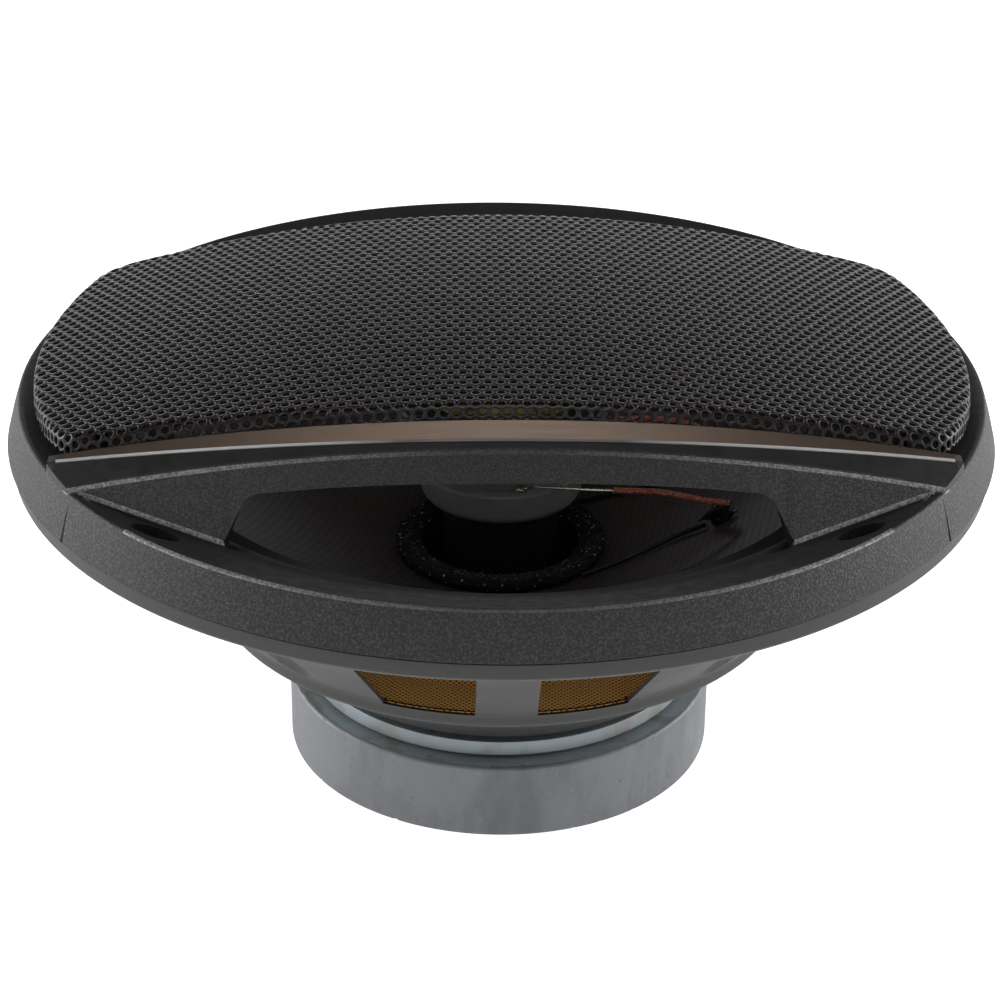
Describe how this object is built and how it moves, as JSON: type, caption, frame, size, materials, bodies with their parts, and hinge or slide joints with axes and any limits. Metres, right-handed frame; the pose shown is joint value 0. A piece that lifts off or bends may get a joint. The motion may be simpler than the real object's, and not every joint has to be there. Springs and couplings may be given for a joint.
{
  "type": "coaxial car speaker",
  "caption": "Round coaxial car loudspeaker: woven cone, tweeter on a centre post, ferrite motor, open basket and lift-off grille with a domed mesh band between two crescent windows.",
  "frame": {"origin": "centre of the back plate's rear face, on the speaker's axis", "axes": "+Z along the axis out of the front, +X along the wide mesh band towards the terminals' side, -Y towards the crescent window seen first"},
  "size_m": [0.1724, 0.1724, 0.0904],
  "materials": {
    "grained_plastic": "fine grained black-grey moulding",
    "basket_plastic": "smooth slate-grey moulding",
    "black_plastic": "satin black moulding",
    "mesh_steel": "perforated sheet, satin black lacquer",
    "bronze_trim": "brushed and anodised bronze",
    "zinc": "zinc plated steel",
    "ferrite": "ground ferrite, mottled grey",
    "woven_cone": "coated black-brown weave",
    "surround_rubber": "matt black butyl rubber",
    "spider_cloth": "resin-stiffened golden weave",
    "felt": "black felt with light specks",
    "foam": "black foam gasket",
    "copper": "braided or wound copper",
    "aluminium_former": "thin rolled aluminium",
    "neodymium": "nickel plated",
    "amber_film": "translucent amber diaphragm film",
    "fibreboard": "brown laminated board",
    "solder_lacquer": "glossy black sealing lacquer over solder",
    "capacitor_sleeve": "shrink sleeve"
  },
  "bodies": {
    "chassis": {"back_plate_with_pole": "zinc", "ring_magnet": "ferrite", "top_plate": "zinc", "tweeter_post": "black_plastic", "post_screw": "zinc", "basket": "basket_plastic", "surround_clamp_ring": "foam", "terminal_board": "fibreboard", "positive_terminal": "zinc", "negative_terminal": "zinc", "positive_rivet": "zinc", "negative_rivet": "zinc", "crossover_capacitor": "capacitor_sleeve", "surround": "surround_rubber", "spider": "spider_cloth", "positive_tinsel_lead": "copper", "negative_tinsel_lead": "copper", "front_tweeter_lead": "copper", "rear_tweeter_lead": "copper", "tweeter_housing": "black_plastic", "tweeter_magnet_pot": "zinc", "tweeter_magnet": "neodymium", "tweeter_pole_plate": "zinc", "tweeter_dome_carrier": "amber_film", "tweeter_guard": "black_plastic"},
    "cone_assembly": {"cone": "woven_cone", "voice_coil_former": "aluminium_former", "voice_coil_winding": "copper", "felt_neck_ring": "felt", "front_solder_joint": "solder_lacquer", "rear_solder_joint": "solder_lacquer", "front_coil_lead": "black_plastic", "rear_coil_lead": "black_plastic"},
    "tweeter_diaphragm": {"tweeter_dome": "amber_film", "tweeter_voice_coil": "copper"},
    "grille": {"grille_ring": "grained_plastic", "grille_mesh": "mesh_steel", "front_trim_strip": "bronze_trim", "rear_trim_strip": "bronze_trim"}
  },
  "joints": [
    {"name": "cone_travel", "type": "slide", "parent": "chassis", "child": "cone_assembly", "axis": [0, 0, 1], "range_m": [-0.004, 0.004], "stiffness_N_per_m": 1000, "deforming": ["surround", "spider", "positive_tinsel_lead", "negative_tinsel_lead", "front_tweeter_lead", "rear_tweeter_lead"]},
    {"name": "tweeter_travel", "type": "slide", "parent": "chassis", "child": "tweeter_diaphragm", "axis": [0, 0, 1], "range_m": [-0.0003, 0.0003], "stiffness_N_per_m": 2000},
    {"name": "grille_lift", "type": "slide", "parent": "chassis", "child": "grille", "axis": [0, 0, 1], "range_m": [0, 0.03]}
  ]
}
